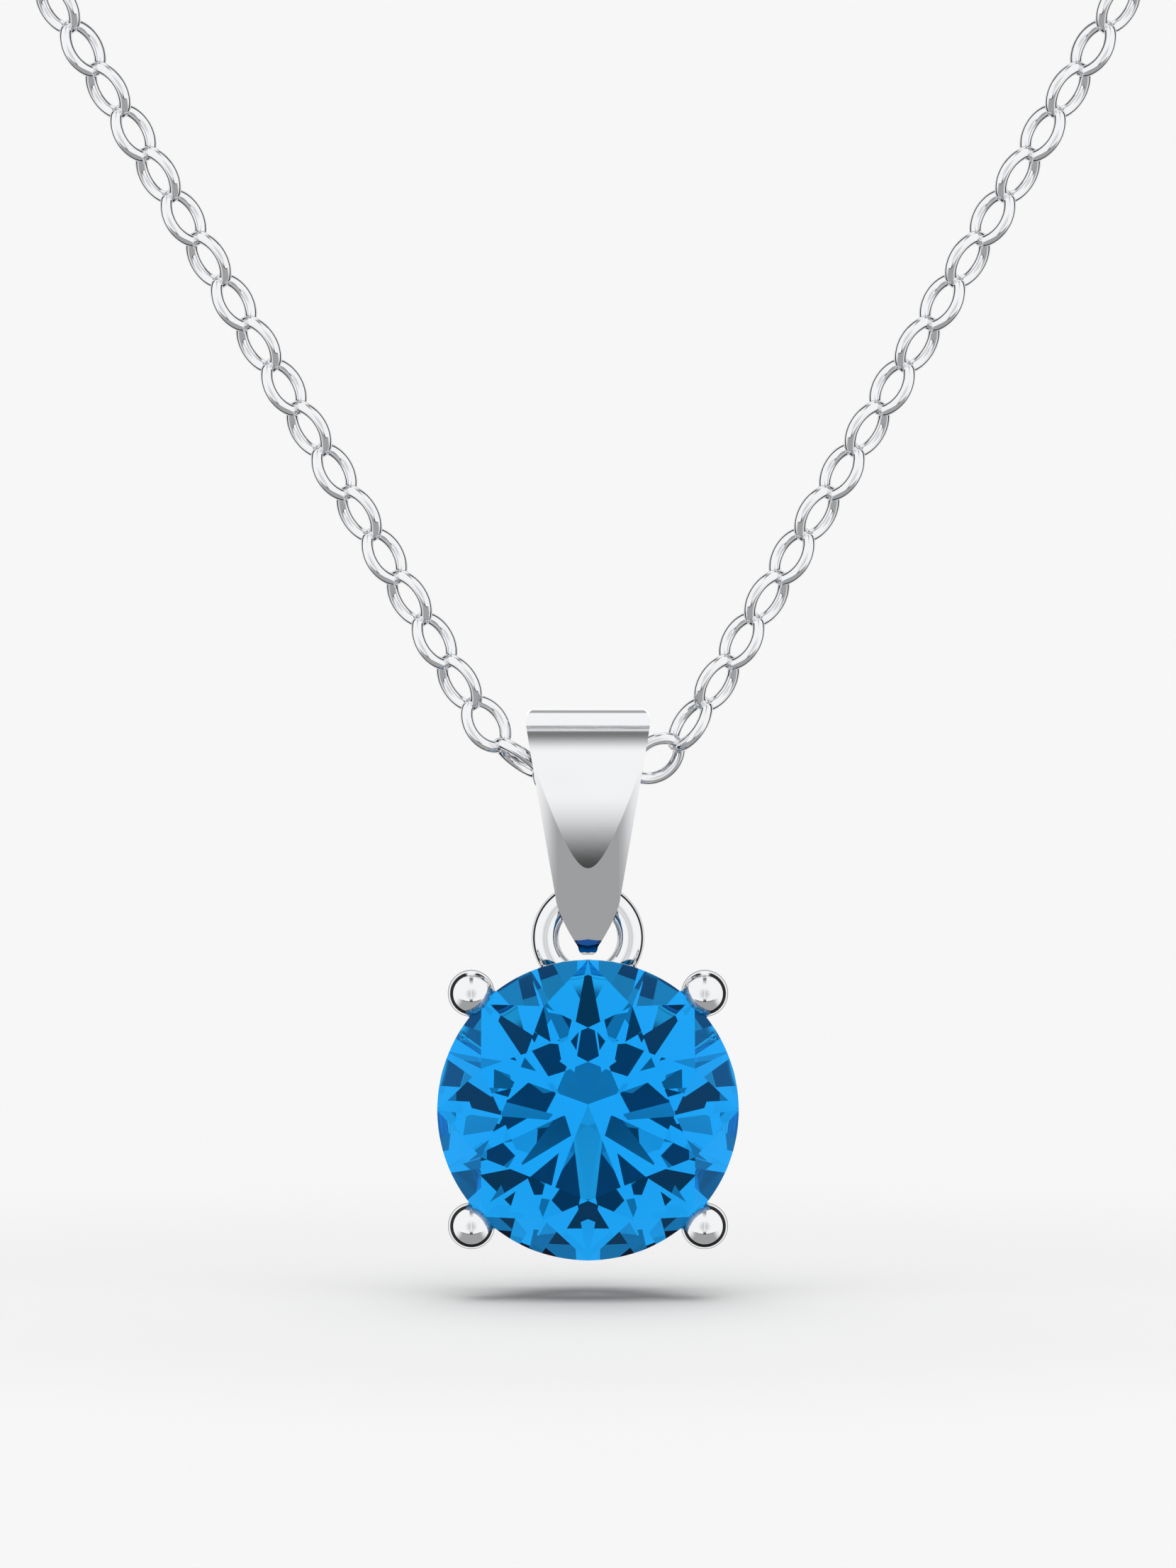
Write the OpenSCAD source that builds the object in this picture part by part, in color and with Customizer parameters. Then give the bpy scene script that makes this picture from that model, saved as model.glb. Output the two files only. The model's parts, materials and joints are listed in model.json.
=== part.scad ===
// Pendant necklace. A round faceted stone sits in a four-prong basket, which hangs by a
// wire loop in a tapered bail. The bail rides on an oval cable chain whose two strands
// rise in a V to the two points that hold it. The rest of the chain is wound in one coil
// above them, its two ends joined by a spring-ring clasp across the coil's middle.
//
// Frame: +Z up, the stone faces -Y, origin midway between the two hold points.

/* [Stone] */
// Diameter of the stone at its girdle
stone_d = 8; // [6:0.2:10]
// Corner-to-corner width of the table facet
table_d = 4.6; // [3:0.1:5.4]
// Thickness of the girdle band
girdle_t = 0.25; // [0.1:0.05:0.4]
// Slope of the crown mains above the girdle plane
crown_angle = 34.5; // [30:0.5:38]
// Slope of the pavilion mains below the girdle plane
pavilion_angle = 41; // [38:0.5:42]

/* [Setting] */
// Diameter of the ball on each prong tip
prong_ball_d = 1.28; // [1:0.02:1.6]
// Diameter of the prong wire
prong_wire_d = 0.8; // [0.6:0.05:1]
// How far a ball's centre stands outside the girdle
prong_stand_off = 0.38; // [0.3:0.02:0.5]
// Radial thickness of the rail under the girdle at its back
upper_rail_w = 0.75; // [0.5:0.05:1]
// Front-to-back depth of the rail under the girdle
upper_rail_h = 0.8; // [0.6:0.05:1.1]
// Mean radius of the rail at the back
lower_rail_r = 2; // [1.6:0.1:2.6]
// Radial thickness of the rail at the back
lower_rail_w = 0.7; // [0.5:0.05:1]
// Front-to-back depth of the rail at the back
lower_rail_h = 0.7; // [0.5:0.05:1]
// Distance of the loop's plane behind the girdle, which is where the pendant balances
loop_set_back = 0.95; // [0.7:0.05:1.2]
// Mean radius of the pendant loop
loop_r = 1.14; // [1.05:0.02:1.4]
// Diameter of the pendant loop's wire
loop_wire_d = 0.73; // [0.5:0.01:0.8]

/* [Bail] */
// Height of the bail from its top bend to its tip
bail_h = 6.63; // [5.8:0.1:8]
// Width of the bail across its top
bail_w = 3.31; // [2.8:0.1:4]
// Wall of the bail over the chain
bail_wall = 0.75; // [0.5:0.05:1]
// Diameter of the hole that the chain passes through
bail_bore_d = 1.9; // [1.7:0.1:2.2]
// How far the tip hangs below the centre of the pendant loop
tip_reach = 0.53; // [0.4:0.02:0.6]

/* [Chain] */
// Diameter of the chain wire
link_wire_d = 0.33; // [0.26:0.01:0.38]
// Distance from one link to the next
link_pitch = 1.305; // [1.2:0.01:1.5]
// Outer width of a link
link_w = 1.32; // [1.2:0.01:1.45]
// Number of links in the straight part of each strand
strand_links = 18; // [8:1:24]
// Angle between a strand and the vertical
strand_angle = 30.6; // [25:0.1:36]

/* [Clasp] */
// Mean radius of the spring ring
clasp_r = 2.1; // [1.9:0.1:2.3]
// Outer diameter of the spring ring's tube
clasp_tube_d = 1.1; // [0.9:0.05:1.2]
// Wall of the spring ring's tube
clasp_wall = 0.2; // [0.15:0.01:0.25]
// Wire diameter of the jump rings and of the clasp's eye
jump_wire_d = 0.45; // [0.35:0.05:0.5]

/* [Hidden] */

// Running clearances
link_gap = 0.03;
link_slack = 0.08;
seat_gap = 0.02;
loop_gap = 0.06;
tip_gap = 0.14;

// Colours
silver = "#D9DCE0";
blue = "#0A6CE8";
steel = "#9AA0A6";
paper = "#F2EFE8";

// Smoothness of curves, which are exact where OpenSCAD's own primitives draw them
ring_steps = 96;
round_steps = 48;
wire_steps = 24;
lead_sides = 8;
spring_sides = 6;

// Chain path: slope of the first links above the horizontal, from the bail outwards
bail_link_slopes = [12, 36, 55];
strand_slope = 90 - strand_angle;
link_slopes = [for (i = [0 : len(bail_link_slopes) + strand_links - 1])
    i < len(bail_link_slopes) ? bail_link_slopes[i] : strand_slope];
link_count = len(link_slopes);
function path_sum(i) = i < 0 ? [0, 0]
    : path_sum(i - 1) + link_pitch * [cos(link_slopes[i]), sin(link_slopes[i])];
hold_x = path_sum(link_count - 1)[0];
chain_low_z = -path_sum(link_count - 1)[1];

// The links lie 45 degrees to each side in turn. The two strands mirror each other, which
// would leave the two middle links in one plane, so the links by the bail share a quarter turn
link_tilt = 45;
turned_links = len(bail_link_slopes);
shared_turn = 90 / (2 * turned_links + 1);
function link_roll(i, side) = (i % 2 == 0 ? link_tilt : -link_tilt)
    - side * shared_turn * max(turned_links - i, 0);

// Heights of the bail, the loop and the stone, each hung from the one above
bail_rise = 0.29;
bore_z = chain_low_z + bail_rise;
bail_outer_r = bail_bore_d / 2 + bail_wall;
bail_top_z = bore_z + bail_outer_r;
tip_z = bail_top_z - bail_h;
loop_z = tip_z + tip_reach;
stone_r = stone_d / 2;
rail_inset = 0.15;
upper_rail_r = stone_r - rail_inset;
stone_z = tip_z - tip_gap - upper_rail_r;

// Cut of the stone, along its own axis with the girdle plane at 0 and the table up
girdle_half = girdle_t / 2;
table_z = girdle_half + (stone_r - table_d / 2) * tan(crown_angle);
culet_z = -girdle_half - stone_r * tan(pavilion_angle);
main_count = 8;
main_step = 360 / main_count;
arc_steps = 3;
arc_step = main_step / 2 / arc_steps;
star_length = 0.505;
table_edge_r = table_d / 2 * cos(main_step / 2);
star_r = table_edge_r + star_length * (stone_r - table_edge_r);
star_z = girdle_half + (stone_r - star_r * cos(main_step / 2)) * tan(crown_angle);
lower_half_length = 0.75;
keel_r = stone_r * (1 - lower_half_length);
keel_z = -girdle_half - (stone_r - keel_r * cos(main_step / 2)) * tan(pavilion_angle);

// Basket, along the stone's axis
seat_drop = 0.275;
seat_front = -girdle_half - seat_drop;
seat_back = seat_front - upper_rail_h;
culet_cover = 0.2;
base_back = culet_z - culet_cover;
base_front = base_back + lower_rail_h;
ball_r = prong_ball_d / 2;
ball_r_from_axis = stone_r + prong_stand_off;
ball_sink = 0.2;
foot_z = (base_back + base_front) / 2;
solder_depth = 0.25;
prong_index = 45;

// Bail sections
lower_bulge_r = 0.8;
bulge_clearance = 0.05;
lower_bulge_z = tip_z + lower_bulge_r + bulge_clearance;
eye_ease = 0.03;
eye_r = loop_wire_d / 2 + loop_gap + eye_ease;
eye_z = loop_z + loop_r;
tip_half_depth = 0.36;
crease_rise = 2.465;
crease_z = tip_z + crease_rise;
crease_half_depth = 1.185;
leg_crown_r = 2.2;
leg_lean = atan((crease_half_depth - tip_half_depth) / (crease_z - tip_z));
bail_corner_r = 0.3;
tip_r = 0.26;
shoulder_z = bail_top_z - bail_corner_r;
waist_rise = 1.66;
side_taper = 0.17;
waist_z = tip_z + waist_rise;
waist_half = bail_w / 2 - (shoulder_z - waist_z) * side_taper;
nose_z = tip_z + tip_r;
waist_steps = 8;
nose_power = 1.45;
corner_steps = 6;
nose_steps = 10;
bend_steps = 48;

// Chain envelope, coil and clasp line
chain_d = 1.3;
coil_r = [7.8, 6.5];
coil_y = [0.7, 2.0];
coil_z = 13.5;
coil_margin = chain_d / 2 + link_gap;
tie_index = 45;
tie_angle = 8;
tie_wrap = 0.25;
tie_gap = 0.05;

// Spring ring: angles about its centre, from the middle of the gap in its case
clasp_gap_angle = 50;
knob_angle = 38;
bolt_length_angle = 120;
bolt_travel_angle = 60;
knob_d = 0.5;
knob_l = 0.9;
bolt_tip_overlap = 12;
slot_margin = asin((knob_d / 2 + link_gap) / clasp_r);
spring_end_gap = 2;
spring_rest_angle = 40;
case_start = clasp_gap_angle / 2;
case_angle = 360 - clasp_gap_angle;
bolt_start = -case_start - bolt_tip_overlap;
bolt_d = clasp_tube_d - 2 * clasp_wall - 2 * link_gap;
spring_wire_d = 0.12;
spring_turns = 12;
turn_steps = 10;

// Rings on the clasp line, from the left end of the chain to the right one. The eye is
// soldered half a wall deep on the case. Each jump ring spans from its neighbour to where
// it links the last turn of the coil, so its radius follows from the rest
end_ring_r = 1.45;
eye_ring_r = 0.75;
jump_reach = coil_r[1] - chain_d / 4;
ring_play = jump_wire_d / 2 + link_gap;
eye_x = -clasp_r - clasp_tube_d / 2 - eye_ring_r - jump_wire_d / 2 + clasp_wall / 2;
end_ring_x = clasp_r - clasp_tube_d / 2 + end_ring_r - ring_play;
left_jump_r = (jump_reach + eye_x - eye_ring_r + ring_play) / 2;
right_jump_r = (jump_reach - end_ring_x - end_ring_r + ring_play) / 2;
left_jump_x = left_jump_r + jump_wire_d / 2 - jump_reach;
right_jump_x = jump_reach - right_jump_r - jump_wire_d / 2;

// Route of the left strand from its hold point over to the coil; the right one mirrors it
lead_route = [[-14.9, 0, 0], [-15.4, 0, 0.8], [-15.8, -0.1, 1.6], [-16.1, -0.1, 2.6],
              [-16.0, -0.2, 3.6], [-15.5, -0.3, 4.6], [-14.5, -0.4, 5.4], [-13.2, -0.5, 5.6],
              [-11.6, -0.6, 5.5], [-9.8, -0.7, 5.3], [-8.0, -0.7, 5.2], [-6.2, -0.7, 5.2],
              [-4.4, -0.7, 5.3], [-2.6, -0.7, 5.5], [-1.2, -0.7, 5.6], [0, -0.7, 5.7]];

// A point of the stone by its radius, its index angle and its height
function cut_point(radius, index, height) = [radius * cos(index), radius * sin(index), height];

// Height of the girdle's edge, which dips where a flat facet crosses the round girdle
function girdle_edge(i, facet_slope) =
    let (middle = main_step / 4, turn = (i % arc_steps) * arc_step)
    girdle_half - stone_r * (cos(turn - middle) - cos(middle)) * facet_slope;

module stone() {
    half_step = main_step / 2;
    n = 2 * main_count * arc_steps;
    m = main_count;
    span = 2 * arc_steps;
    upper_slope = (star_z - girdle_half) / ((stone_r - star_r) * cos(main_step / 4));
    lower_slope = (-girdle_half - keel_z) / ((stone_r - keel_r) * cos(main_step / 4));
    points = concat(
        [for (k = [0 : m - 1]) cut_point(table_d / 2, k * main_step, table_z)],
        [for (k = [0 : m - 1]) cut_point(star_r, k * main_step + half_step, star_z)],
        [for (i = [0 : n - 1]) cut_point(stone_r, i * arc_step, girdle_edge(i, upper_slope))],
        [for (i = [0 : n - 1]) cut_point(stone_r, i * arc_step, -girdle_edge(i, lower_slope))],
        [for (k = [0 : m - 1]) cut_point(keel_r, k * main_step + half_step, keel_z)],
        [[0, 0, culet_z]]);
    star = m;
    top = 2 * m;
    bottom = top + n;
    keel = bottom + n;
    culet = keel + m;
    faces = concat(
        [[for (k = [m - 1 : -1 : 0]) k]],
        [for (k = [0 : m - 1]) [k, (k + 1) % m, star + k]],
        [for (k = [0 : m - 1]) [k, star + k, top + span * k, star + (k + m - 1) % m]],
        [for (k = [0 : m - 1]) for (half = [0, 1])
            concat([star + k], [for (i = [arc_steps : -1 : 0])
                top + (span * k + half * arc_steps + i) % n])],
        [for (i = [0 : n - 1]) [top + i, top + (i + 1) % n, bottom + (i + 1) % n, bottom + i]],
        [for (k = [0 : m - 1]) for (half = [0, 1])
            concat([keel + k], [for (i = [0 : arc_steps])
                bottom + (span * k + half * arc_steps + i) % n])],
        [for (k = [0 : m - 1]) [keel + (k + m - 1) % m, bottom + span * k, keel + k, culet]]);
    color(blue, 0.8)
        in_setting()
            polyhedron(points = points, faces = faces);
}

// Turns the stone's own axis to face -Y and puts it at the stone's place
module in_setting() {
    translate([0, -loop_set_back, stone_z])
        rotate([90, 0, 0])
            children();
}

// The stone's outline with a seat clearance, for what is cut to hold it
module seat_envelope() {
    rotate_extrude($fn = ring_steps)
        polygon([[0, culet_z - seat_gap],
                 [stone_r + seat_gap, -girdle_half - seat_gap],
                 [stone_r + seat_gap, girdle_half + seat_gap],
                 [table_d / 2, table_z + seat_gap],
                 [0, table_z + seat_gap]]);
}

// One prong: a wire from the back rail to a ball that is notched for the girdle
module prong(index) {
    reach = ball_r_from_axis - lower_rail_r;
    drop = -ball_sink - foot_z;
    color(silver)
        in_setting()
            rotate([0, 0, index])
                difference() {
                    union() {
                        translate([ball_r_from_axis, 0, -ball_sink])
                            sphere(r = ball_r, $fn = round_steps);
                        translate([lower_rail_r, 0, foot_z])
                            rotate([0, atan(reach / drop), 0])
                                cylinder(d = prong_wire_d, h = norm([reach, drop]), $fn = wire_steps);
                    }
                    seat_envelope();
                }
}

module prong_upper_left() { prong(180 - prong_index); }
module prong_upper_right() { prong(prong_index); }
module prong_lower_left() { prong(180 + prong_index); }
module prong_lower_right() { prong(-prong_index); }

module upper_gallery_rail() {
    seat_r = stone_r - (-girdle_half - seat_front) / tan(pavilion_angle) + 2 * seat_gap;
    color(silver)
        in_setting()
            rotate_extrude($fn = ring_steps)
                polygon([[seat_r, seat_front], [upper_rail_r, seat_front],
                         [upper_rail_r, seat_back], [upper_rail_r - upper_rail_w, seat_back]]);
}

module lower_gallery_rail() {
    color(silver)
        in_setting()
            rotate_extrude($fn = ring_steps)
                translate([lower_rail_r - lower_rail_w / 2, base_back])
                    square([lower_rail_w, lower_rail_h]);
}

// A round wire ring lying in the XY plane
module wire_ring(radius, wire_d) {
    rotate_extrude($fn = ring_steps)
        translate([radius, 0])
            circle(d = wire_d, $fn = wire_steps);
}

// The loop ends inside the upper rail, where it is soldered
module pendant_loop() {
    color(silver)
        difference() {
            translate([0, 0, loop_z])
                rotate([90, 0, 0])
                    wire_ring(loop_r, loop_wire_d);
            in_setting()
                cylinder(r = upper_rail_r - solder_depth, h = 2 * stone_d, center = true,
                         $fn = ring_steps);
        }
}

// Points of an arc about a centre, from one angle to another
function arc(centre, radius, from, to, steps) =
    [for (i = [0 : steps]) let (a = from + (to - from) * i / steps)
        centre + radius * [cos(a), sin(a)]];

// Side view of two circles and their outer tangents
module teardrop(top_r, top_y, low_r, low_y) {
    lean = asin((top_r - low_r) / (top_y - low_y));
    polygon(concat(arc([0, top_y], top_r, -lean, 180 + lean, bend_steps),
                   arc([0, low_y], low_r, 180 + lean, 360 - lean, bend_steps / 2)));
}

// Half-width of the bail's outline between its waist and the nose
function nose_half(t) = tip_r + (waist_half - tip_r) * (1 - pow(t, nose_power));

// Front view of the bail: straight tapering sides that curve in to a small round nose
module bail_outline() {
    corner = [bail_w / 2 - bail_corner_r, shoulder_z];
    right = [for (i = [0 : waist_steps - 1])
        [nose_half(i / waist_steps), waist_z - (waist_z - nose_z) * i / waist_steps]];
    left = [for (i = [waist_steps - 1 : -1 : 0]) [-right[i][0], right[i][1]]];
    polygon(concat(arc([-corner[0], corner[1]], bail_corner_r, 180, 90, corner_steps),
                   arc(corner, bail_corner_r, 90, 0, corner_steps),
                   right, arc([0, nose_z], tip_r, 0, -180, nose_steps), left));
}

// A leaning cylinder that crowns one leg of the bail from side to side
module leg_crown(side) {
    translate([0, side * tip_half_depth, tip_z])
        rotate([-side * leg_lean, 0, 0])
            translate([0, -side * leg_crown_r, -bail_h])
                cylinder(r = leg_crown_r, h = 3 * bail_h, $fn = ring_steps);
}

// Puts a piece on a line across the bail at a height
module across(height) {
    translate([0, 0, height])
        rotate([90, 0, 90])
            children();
}

// The gap between the two legs, tangent to the bore and to the loop's eye
module eye_slot() {
    bore_r = bail_bore_d / 2;
    lean = asin((bore_r - eye_r) / (bore_z - eye_z));
    side = [cos(lean), -sin(lean)];
    polygon([[bore_r * side[0], bore_z + bore_r * side[1]],
             [eye_r * side[0], eye_z + eye_r * side[1]],
             [-eye_r * side[0], eye_z + eye_r * side[1]],
             [-bore_r * side[0], bore_z + bore_r * side[1]]]);
}

module bail() {
    color(silver)
        difference() {
            intersection() {
                across(0)
                    linear_extrude(height = 2 * bail_w, center = true)
                        teardrop(bail_outer_r, bore_z, lower_bulge_r, lower_bulge_z);
                rotate([90, 0, 0])
                    linear_extrude(height = 2 * bail_w, center = true)
                        bail_outline();
                leg_crown(-1);
                leg_crown(1);
            }
            across(bore_z)
                cylinder(d = bail_bore_d, h = 2 * bail_w, center = true, $fn = ring_steps);
            across(eye_z)
                cylinder(r = eye_r, h = 2 * bail_w, center = true, $fn = round_steps);
            across(0)
                linear_extrude(height = 2 * bail_w, center = true)
                    eye_slot();
            translate([0, 0, loop_z])
                rotate([90, 0, 0])
                    wire_ring(loop_r, loop_wire_d + 2 * loop_gap);
        }
}

// One long link of round wire along X: two half rings and two straight sides
module long_link() {
    half_l = (link_pitch + link_slack + link_wire_d) / 2;
    bend_r = (link_w - link_wire_d) / 2;
    half_side = half_l - bend_r;
    for (way = [0, 180])
        rotate([0, 0, way]) {
            translate([half_side, 0, 0])
                rotate([0, 0, -90])
                    rotate_extrude(angle = 180, $fn = round_steps)
                        translate([bend_r, 0])
                            circle(d = link_wire_d, $fn = wire_steps);
            translate([-half_side, bend_r, 0])
                rotate([0, 90, 0])
                    cylinder(d = link_wire_d, h = 2 * half_side, $fn = wire_steps);
        }
}

// The links of one strand, from the middle of the bail out to the hold point
module strand(side) {
    color(silver)
        rotate([0, 0, side > 0 ? 0 : 180])
            for (i = [0 : link_count - 1]) {
                middle = (path_sum(i - 1) + path_sum(i)) / 2;
                translate([middle[0], 0, chain_low_z + middle[1]])
                    rotate([0, -link_slopes[i], 0])
                        rotate([side * link_roll(i, side), 0, 0])
                            long_link();
            }
}

module chain_right_strand() { strand(1); }
module chain_left_strand() { strand(-1); }

// A round tube swept along a list of points
module swept_tube(points, d, sides) {
    last = len(points) - 1;
    rings = [for (i = [0 : last])
        let (ahead = points[min(i + 1, last)] - points[max(i - 1, 0)],
             t = ahead / norm(ahead),
             u = [-t[2], 0, t[0]] / norm([t[0], t[2]]),
             v = cross(t, u))
        for (k = [0 : sides - 1])
            points[i] + d / 2 * (cos(360 * k / sides) * u + sin(360 * k / sides) * v)];
    walls = [for (i = [0 : last - 1]) for (k = [0 : sides - 1])
        let (a = i * sides + k, b = i * sides + (k + 1) % sides)
        [a, b, b + sides, a + sides]];
    caps = [[for (k = [sides - 1 : -1 : 0]) k], [for (k = [0 : sides - 1]) last * sides + k]];
    polyhedron(points = rings, faces = concat(walls, caps));
}

module left_lead() {
    color(silver)
        swept_tube(lead_route, chain_d, lead_sides);
}

module chain_left_lead() { left_lead(); }
module chain_right_lead() { rotate([0, 0, 180]) left_lead(); }

// The outer shape of one half of the coil, wound about the Y axis
module left_coil() {
    color(silver)
        translate([0, 0, coil_z])
            rotate([90, 0, 0])
                rotate_extrude($fn = ring_steps)
                    translate([coil_r[1] - coil_margin, coil_y[0] - coil_margin])
                        square([coil_r[0] - coil_r[1] + 2 * coil_margin,
                                coil_y[1] - coil_y[0] + 2 * coil_margin]);
}

module chain_left_coil() { left_coil(); }
module chain_right_coil() { rotate([0, 0, 180]) left_coil(); }

// Puts a piece on the clasp line across the middle of the coil
module on_clasp_line(x, flat = false) {
    translate([x, 0, coil_z])
        rotate([flat ? 0 : 90, 0, 0])
            children();
}

module left_jump_ring() {
    color(silver)
        on_clasp_line(left_jump_x, true)
            wire_ring(left_jump_r, jump_wire_d);
}

module clasp_eye() {
    color(silver)
        on_clasp_line(eye_x)
            wire_ring(eye_ring_r, jump_wire_d);
}

// A stretch of the clasp's tube between two radii, from one angle on
module clasp_arc(start, angle, outer_d, inner_d = 0) {
    rotate([0, 0, start])
        rotate_extrude(angle = angle, $fn = ring_steps)
            translate([clasp_r, 0])
                difference() {
                    circle(d = outer_d, $fn = round_steps);
                    if (inner_d > 0)
                        circle(d = inner_d, $fn = round_steps);
                }
}

// The case is a tube open over the gap, slotted on its rim for the knob's travel
module clasp_case() {
    slot_start = case_start + knob_angle - slot_margin;
    slot_angle = bolt_travel_angle + 2 * slot_margin;
    color(silver)
        on_clasp_line(0)
            difference() {
                clasp_arc(case_start, case_angle, clasp_tube_d, clasp_tube_d - 2 * clasp_wall);
                rotate([0, 0, slot_start])
                    rotate_extrude(angle = slot_angle, $fn = ring_steps)
                        translate([clasp_r, -knob_d / 2 - link_gap])
                            square([clasp_tube_d, knob_d + 2 * link_gap]);
            }
}

module clasp_bolt() {
    color(silver)
        on_clasp_line(0)
            clasp_arc(bolt_start, bolt_length_angle, bolt_d);
}

// The knob stands on the bolt and is soldered into it
module clasp_knob() {
    color(silver)
        on_clasp_line(0)
            rotate([0, 0, case_start + knob_angle])
                translate([clasp_r, 0, 0])
                    rotate([0, 90, 0])
                        cylinder(d = knob_d, h = knob_l, $fn = round_steps);
}

// The spring fills the case from the bolt's end to the case's closed end
module clasp_spring() {
    start = bolt_start + bolt_length_angle + spring_end_gap;
    sweep = case_start + case_angle - start - spring_rest_angle;
    coil_radius = (bolt_d - spring_wire_d) / 2;
    steps = spring_turns * turn_steps;
    points = [for (i = [0 : steps])
        let (a = start + sweep * i / steps, turn = 360 * spring_turns * i / steps,
             r = clasp_r + coil_radius * cos(turn))
        [r * cos(a), r * sin(a), coil_radius * sin(turn)]];
    color(steel)
        on_clasp_line(0)
            swept_tube(points, spring_wire_d, spring_sides);
}

module clasp_end_ring() {
    color(silver)
        on_clasp_line(end_ring_x, true)
            wire_ring(end_ring_r, jump_wire_d);
}

module right_jump_ring() {
    color(silver)
        on_clasp_line(right_jump_x)
            wire_ring(right_jump_r, jump_wire_d);
}

// A paper-covered tie wrapped once round both halves of the coil
module coil_tie(index) {
    inner = coil_r[1] - coil_margin - tie_gap;
    radial = coil_r[0] - coil_r[1] + 2 * (coil_margin + tie_gap);
    deep = 2 * (coil_y[1] + coil_margin + tie_gap);
    color(paper)
        translate([0, 0, coil_z])
            rotate([90, 0, 0])
                rotate([0, 0, index - tie_angle / 2])
                    rotate_extrude(angle = tie_angle, $fn = ring_steps)
                        difference() {
                            translate([inner - tie_wrap, -deep / 2 - tie_wrap])
                                square([radial + 2 * tie_wrap, deep + 2 * tie_wrap]);
                            translate([inner, -deep / 2])
                                square([radial, deep]);
                        }
}

module coil_tie_left() { coil_tie(180 - tie_index); }
module coil_tie_right() { coil_tie(tie_index); }

stone();
prong_upper_left();
prong_upper_right();
prong_lower_left();
prong_lower_right();
upper_gallery_rail();
lower_gallery_rail();
pendant_loop();
bail();
chain_left_strand();
chain_right_strand();
chain_left_lead();
chain_right_lead();
chain_left_coil();
chain_right_coil();
left_jump_ring();
clasp_eye();
clasp_case();
clasp_bolt();
clasp_knob();
clasp_spring();
clasp_end_ring();
right_jump_ring();
coil_tie_left();
coil_tie_right();
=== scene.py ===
# %% [markdown]
# # Pendant necklace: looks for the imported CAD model
# A round blue stone hangs in a four-prong basket from a tapered bail on a fine cable chain.
# The CAD gives the places and the joints. Here each piece is made again as a jeweller would
# see it: round wire, polished surfaces, crisp facets. Lengths below are in millimetres, as a
# jeweller writes them, and `mm` turns them into metres.

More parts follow.
